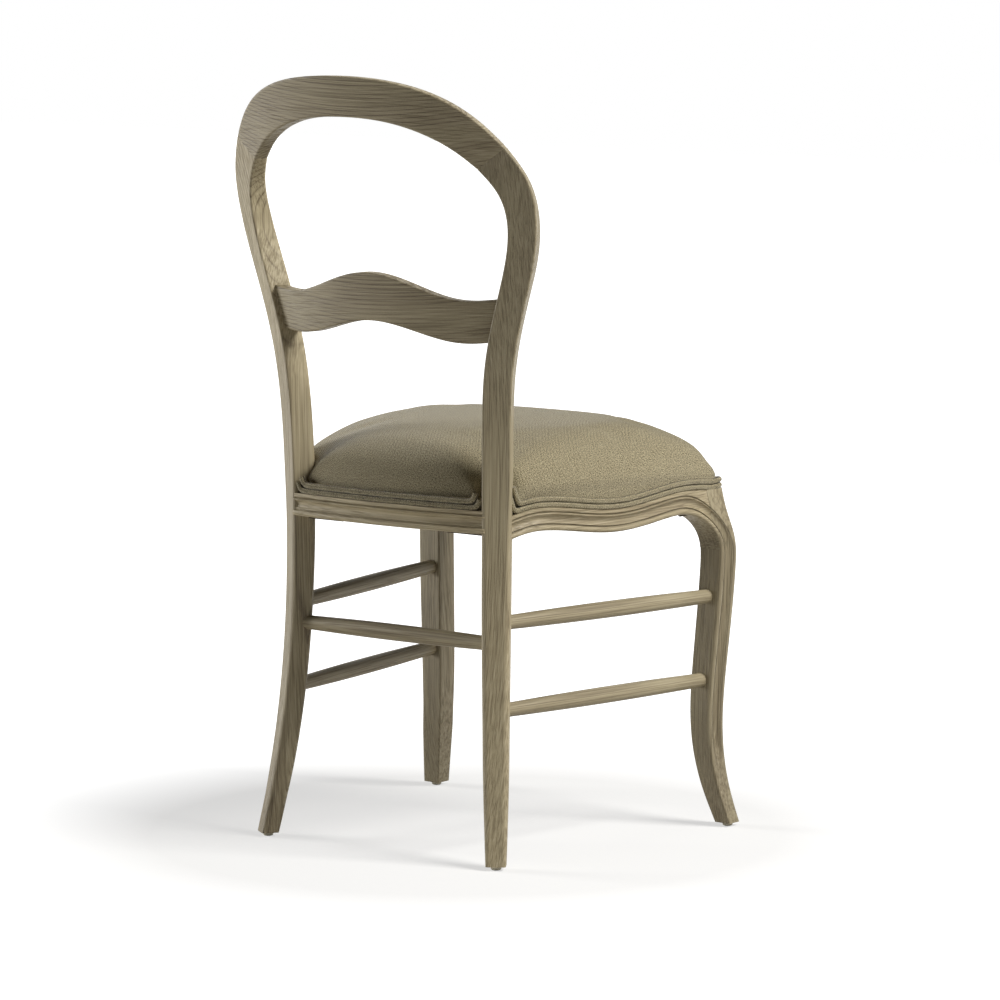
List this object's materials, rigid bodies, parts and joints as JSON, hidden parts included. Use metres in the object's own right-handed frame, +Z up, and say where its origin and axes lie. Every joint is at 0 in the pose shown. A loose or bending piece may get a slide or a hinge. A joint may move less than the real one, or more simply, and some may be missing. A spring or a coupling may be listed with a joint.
{
  "type": "upholstered dining chair",
  "caption": "Balloon-back wooden dining chair with a camel-backed splat, serpentine moulded seat rails, turned stretchers and a tight crowned linen seat with double welt.",
  "frame": {"origin": "on the floor under the middle of the chair's outline", "axes": "+Z up, +Y to the rear, +X to the sitter's left"},
  "size_m": [0.498, 0.511, 0.964],
  "materials": {
    "limed_oak": "limed and waxed, matte",
    "block_wood": "sawn, unfinished",
    "dowel_beech": "sanded, unfinished",
    "screw_steel": "zinc plated",
    "glide_nylon": "moulded, matte",
    "seat_linen": "plain woven linen",
    "welt_linen": "plain woven linen over cord",
    "foam": "cut foam",
    "webbing": "woven elastic",
    "dust_cloth": "non-woven cloth"
  },
  "bodies": {
    "root": {"rear_post_left": "limed_oak", "front_leg_left": "limed_oak", "seat_rail_left": "limed_oak", "stretcher_upper_left": "limed_oak", "stretcher_lower_left": "limed_oak", "rear_post_right": "limed_oak", "front_leg_right": "limed_oak", "seat_rail_right": "limed_oak", "stretcher_upper_right": "limed_oak", "stretcher_lower_right": "limed_oak", "crest_rail": "limed_oak", "back_splat": "limed_oak", "seat_rail_front": "limed_oak", "seat_rail_rear": "limed_oak", "stretcher_rear": "limed_oak", "corner_block_front_left": "block_wood", "corner_block_front_right": "block_wood", "corner_block_rear_left": "block_wood", "corner_block_rear_right": "block_wood", "crest_dowels": "dowel_beech", "corner_block_screws": "screw_steel", "glide_front_left": "glide_nylon", "glide_front_right": "glide_nylon", "glide_rear_left": "glide_nylon", "glide_rear_right": "glide_nylon", "seat_cover": "seat_linen", "welt_front": "welt_linen", "welt_rear": "welt_linen", "foam_pad": "foam", "webbing_lengthwise": "webbing", "webbing_crosswise": "webbing", "dust_cover": "dust_cloth"}
  },
  "joints": []
}
